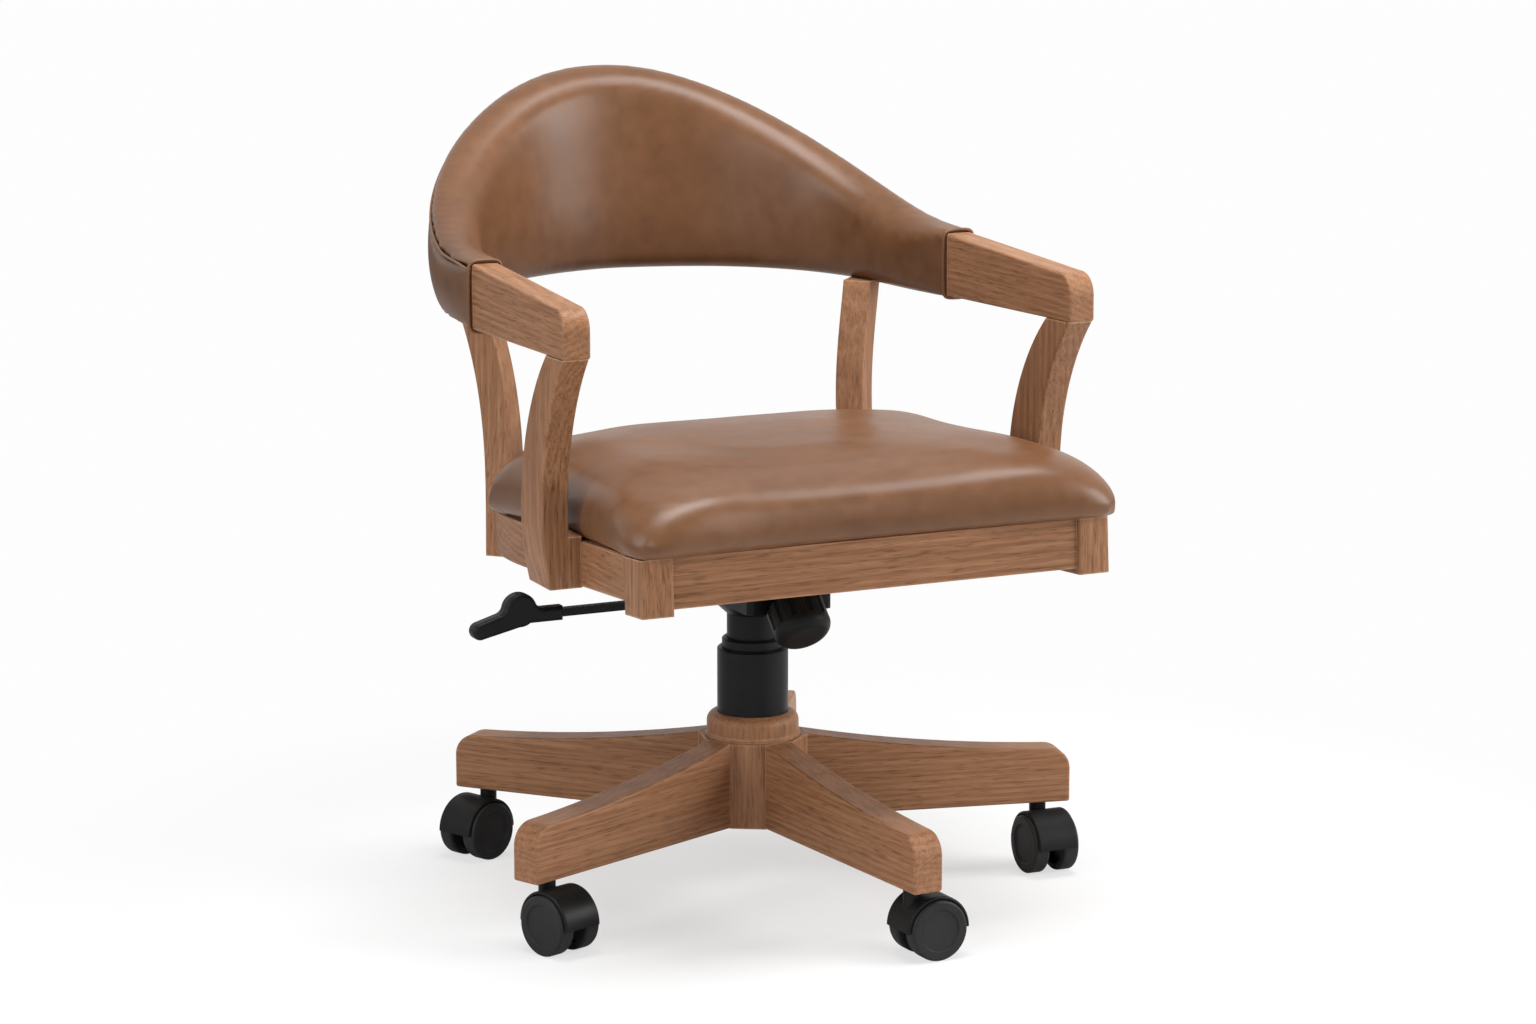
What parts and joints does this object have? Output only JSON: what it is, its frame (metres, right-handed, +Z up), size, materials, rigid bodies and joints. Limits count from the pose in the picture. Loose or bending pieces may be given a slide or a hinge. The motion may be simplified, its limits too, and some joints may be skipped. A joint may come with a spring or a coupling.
{
  "type": "swivel desk chair",
  "caption": "Wooden swivel desk chair on casters with a leather seat cushion, wooden arms running into a padded leather barrel back, gas lift and tilt.",
  "frame": {"origin": "on the floor under the column's axis", "axes": "+Z up along the column, the chair faces -Y, +X to the sitter's left"},
  "size_m": [0.6337, 0.7307, 0.799],
  "materials": {
    "stained_wood": "satin lacquer over a warm brown stain",
    "plain_wood": "unfinished",
    "brown_leather": "semi-gloss with a fine grain",
    "black_plastic": "satin moulded",
    "caster_nylon": "satin moulded",
    "bush_plastic": "plain moulded",
    "black_steel": "satin black paint",
    "bright_steel": "plain bright",
    "spring_rubber": "plain"
  },
  "bodies": {
    "base": {"base_hub": "stained_wood", "hub_collar": "stained_wood", "base_leg_1": "stained_wood", "base_leg_2": "stained_wood", "base_leg_3": "stained_wood", "base_leg_4": "stained_wood", "base_leg_5": "stained_wood", "leg_bolts": "bright_steel", "caster_sockets": "bright_steel", "column_shroud": "black_plastic", "column_tube": "black_steel", "guide_bush": "bush_plastic", "thrust_bearing": "bright_steel"},
    "lift_rod": {"piston_rod": "bright_steel"},
    "mechanism": {"gas_cylinder": "black_steel", "tilt_housing": "black_steel", "tilt_axle": "bright_steel", "lever_pin": "bright_steel", "tension_bolt": "bright_steel", "tension_spring": "spring_rubber"},
    "knob": {"tension_knob": "black_plastic"},
    "lever": {"lever_rod": "black_steel", "lever_paddle": "black_plastic"},
    "release": {"release_pin": "bright_steel"},
    "seat": {"seat_plate": "black_steel", "plate_bolts": "bright_steel", "seat_battens": "plain_wood", "rail_front": "stained_wood", "rail_rear": "stained_wood", "rail_left": "stained_wood", "rail_right": "stained_wood", "stile_left": "stained_wood", "stile_right": "stained_wood", "arm_post_left": "stained_wood", "arm_post_right": "stained_wood", "arm_left": "stained_wood", "arm_right": "stained_wood", "back_post_left": "stained_wood", "back_post_right": "stained_wood", "seat_board": "plain_wood", "seat_cushion": "brown_leather", "back_core": "plain_wood", "back_pad": "brown_leather", "back_cover": "brown_leather"},
    "caster_1": {"caster_1_hood": "black_plastic", "caster_1_pins": "bright_steel"},
    "wheels_1": {"caster_1_wheels": "caster_nylon"},
    "caster_2": {"caster_2_hood": "black_plastic", "caster_2_pins": "bright_steel"},
    "wheels_2": {"caster_2_wheels": "caster_nylon"},
    "caster_3": {"caster_3_hood": "black_plastic", "caster_3_pins": "bright_steel"},
    "wheels_3": {"caster_3_wheels": "caster_nylon"},
    "caster_4": {"caster_4_hood": "black_plastic", "caster_4_pins": "bright_steel"},
    "wheels_4": {"caster_4_wheels": "caster_nylon"},
    "caster_5": {"caster_5_hood": "black_plastic", "caster_5_pins": "bright_steel"},
    "wheels_5": {"caster_5_wheels": "caster_nylon"}
  },
  "joints": [
    {"name": "seat_swivel", "type": "hinge", "parent": "base", "child": "lift_rod", "pos_m": [0, 0, 0.083], "axis": [0, 0, 1], "continuous": true},
    {"name": "seat_lift", "type": "slide", "parent": "lift_rod", "child": "mechanism", "axis": [0, 0, 1], "range_m": [0, 0.1]},
    {"name": "seat_tilt", "type": "hinge", "parent": "mechanism", "child": "seat", "pos_m": [0, -0.03813, 0.3457], "axis": [-1, 0, 0], "range_deg": [0, 15], "stiffness_Nm_per_rad": 80, "springref_deg": -28.65},
    {"name": "tension_turn", "type": "hinge", "parent": "mechanism", "child": "knob", "pos_m": [0, -0.109, 0.2945], "axis": [0, -0.7071, -0.7071], "continuous": true},
    {"name": "lever_lift", "type": "hinge", "parent": "mechanism", "child": "lever", "pos_m": [-0.036, 0, 0.333], "axis": [0, 1, 0], "range_deg": [0, 3.5], "stiffness_Nm_per_rad": 3, "springref_deg": -5.73},
    {"name": "valve_press", "type": "slide", "parent": "mechanism", "child": "release", "axis": [0, 0, -1], "range_m": [0, 0.0023]},
    {"name": "caster_1_swivel", "type": "hinge", "parent": "base", "child": "caster_1", "pos_m": [0.02719, -0.29877, 0.071], "axis": [0, 0, 1], "continuous": true},
    {"name": "caster_1_roll", "type": "hinge", "parent": "caster_1", "child": "wheels_1", "pos_m": [0.04518, -0.29814, 0.03], "axis": [0.0349, -0.9994, 0], "continuous": true},
    {"name": "caster_2_swivel", "type": "hinge", "parent": "base", "child": "caster_2", "pos_m": [0.29254, -0.06646, 0.071], "axis": [0, 0, 1], "continuous": true},
    {"name": "caster_2_roll", "type": "hinge", "parent": "caster_2", "child": "wheels_2", "pos_m": [0.29176, -0.08445, 0.03], "axis": [-0.999, 0.0436, 0], "continuous": true},
    {"name": "caster_3_swivel", "type": "hinge", "parent": "base", "child": "caster_3", "pos_m": [0.15361, 0.25769, 0.071], "axis": [0, 0, 1], "continuous": true},
    {"name": "caster_3_roll", "type": "hinge", "parent": "caster_3", "child": "wheels_3", "pos_m": [0.13802, 0.26669, 0.03], "axis": [0.5, 0.866, 0], "continuous": true},
    {"name": "caster_4_swivel", "type": "hinge", "parent": "base", "child": "caster_4", "pos_m": [-0.19761, 0.22572, 0.071], "axis": [0, 0, 1], "continuous": true},
    {"name": "caster_4_roll", "type": "hinge", "parent": "caster_4", "child": "wheels_4", "pos_m": [-0.21411, 0.21855, 0.03], "axis": [-0.3987, 0.9171, 0], "continuous": true},
    {"name": "caster_5_swivel", "type": "hinge", "parent": "base", "child": "caster_5", "pos_m": [-0.27574, -0.11818, 0.071], "axis": [0, 0, 1], "continuous": true},
    {"name": "caster_5_roll", "type": "hinge", "parent": "caster_5", "child": "wheels_5", "pos_m": [-0.26973, -0.13515, 0.03], "axis": [-0.9426, -0.3338, 0], "continuous": true}
  ],
  "couplings": [
    {"joint": "valve_press", "follows": "lever_lift", "m_per_rad": 0.036}
  ]
}
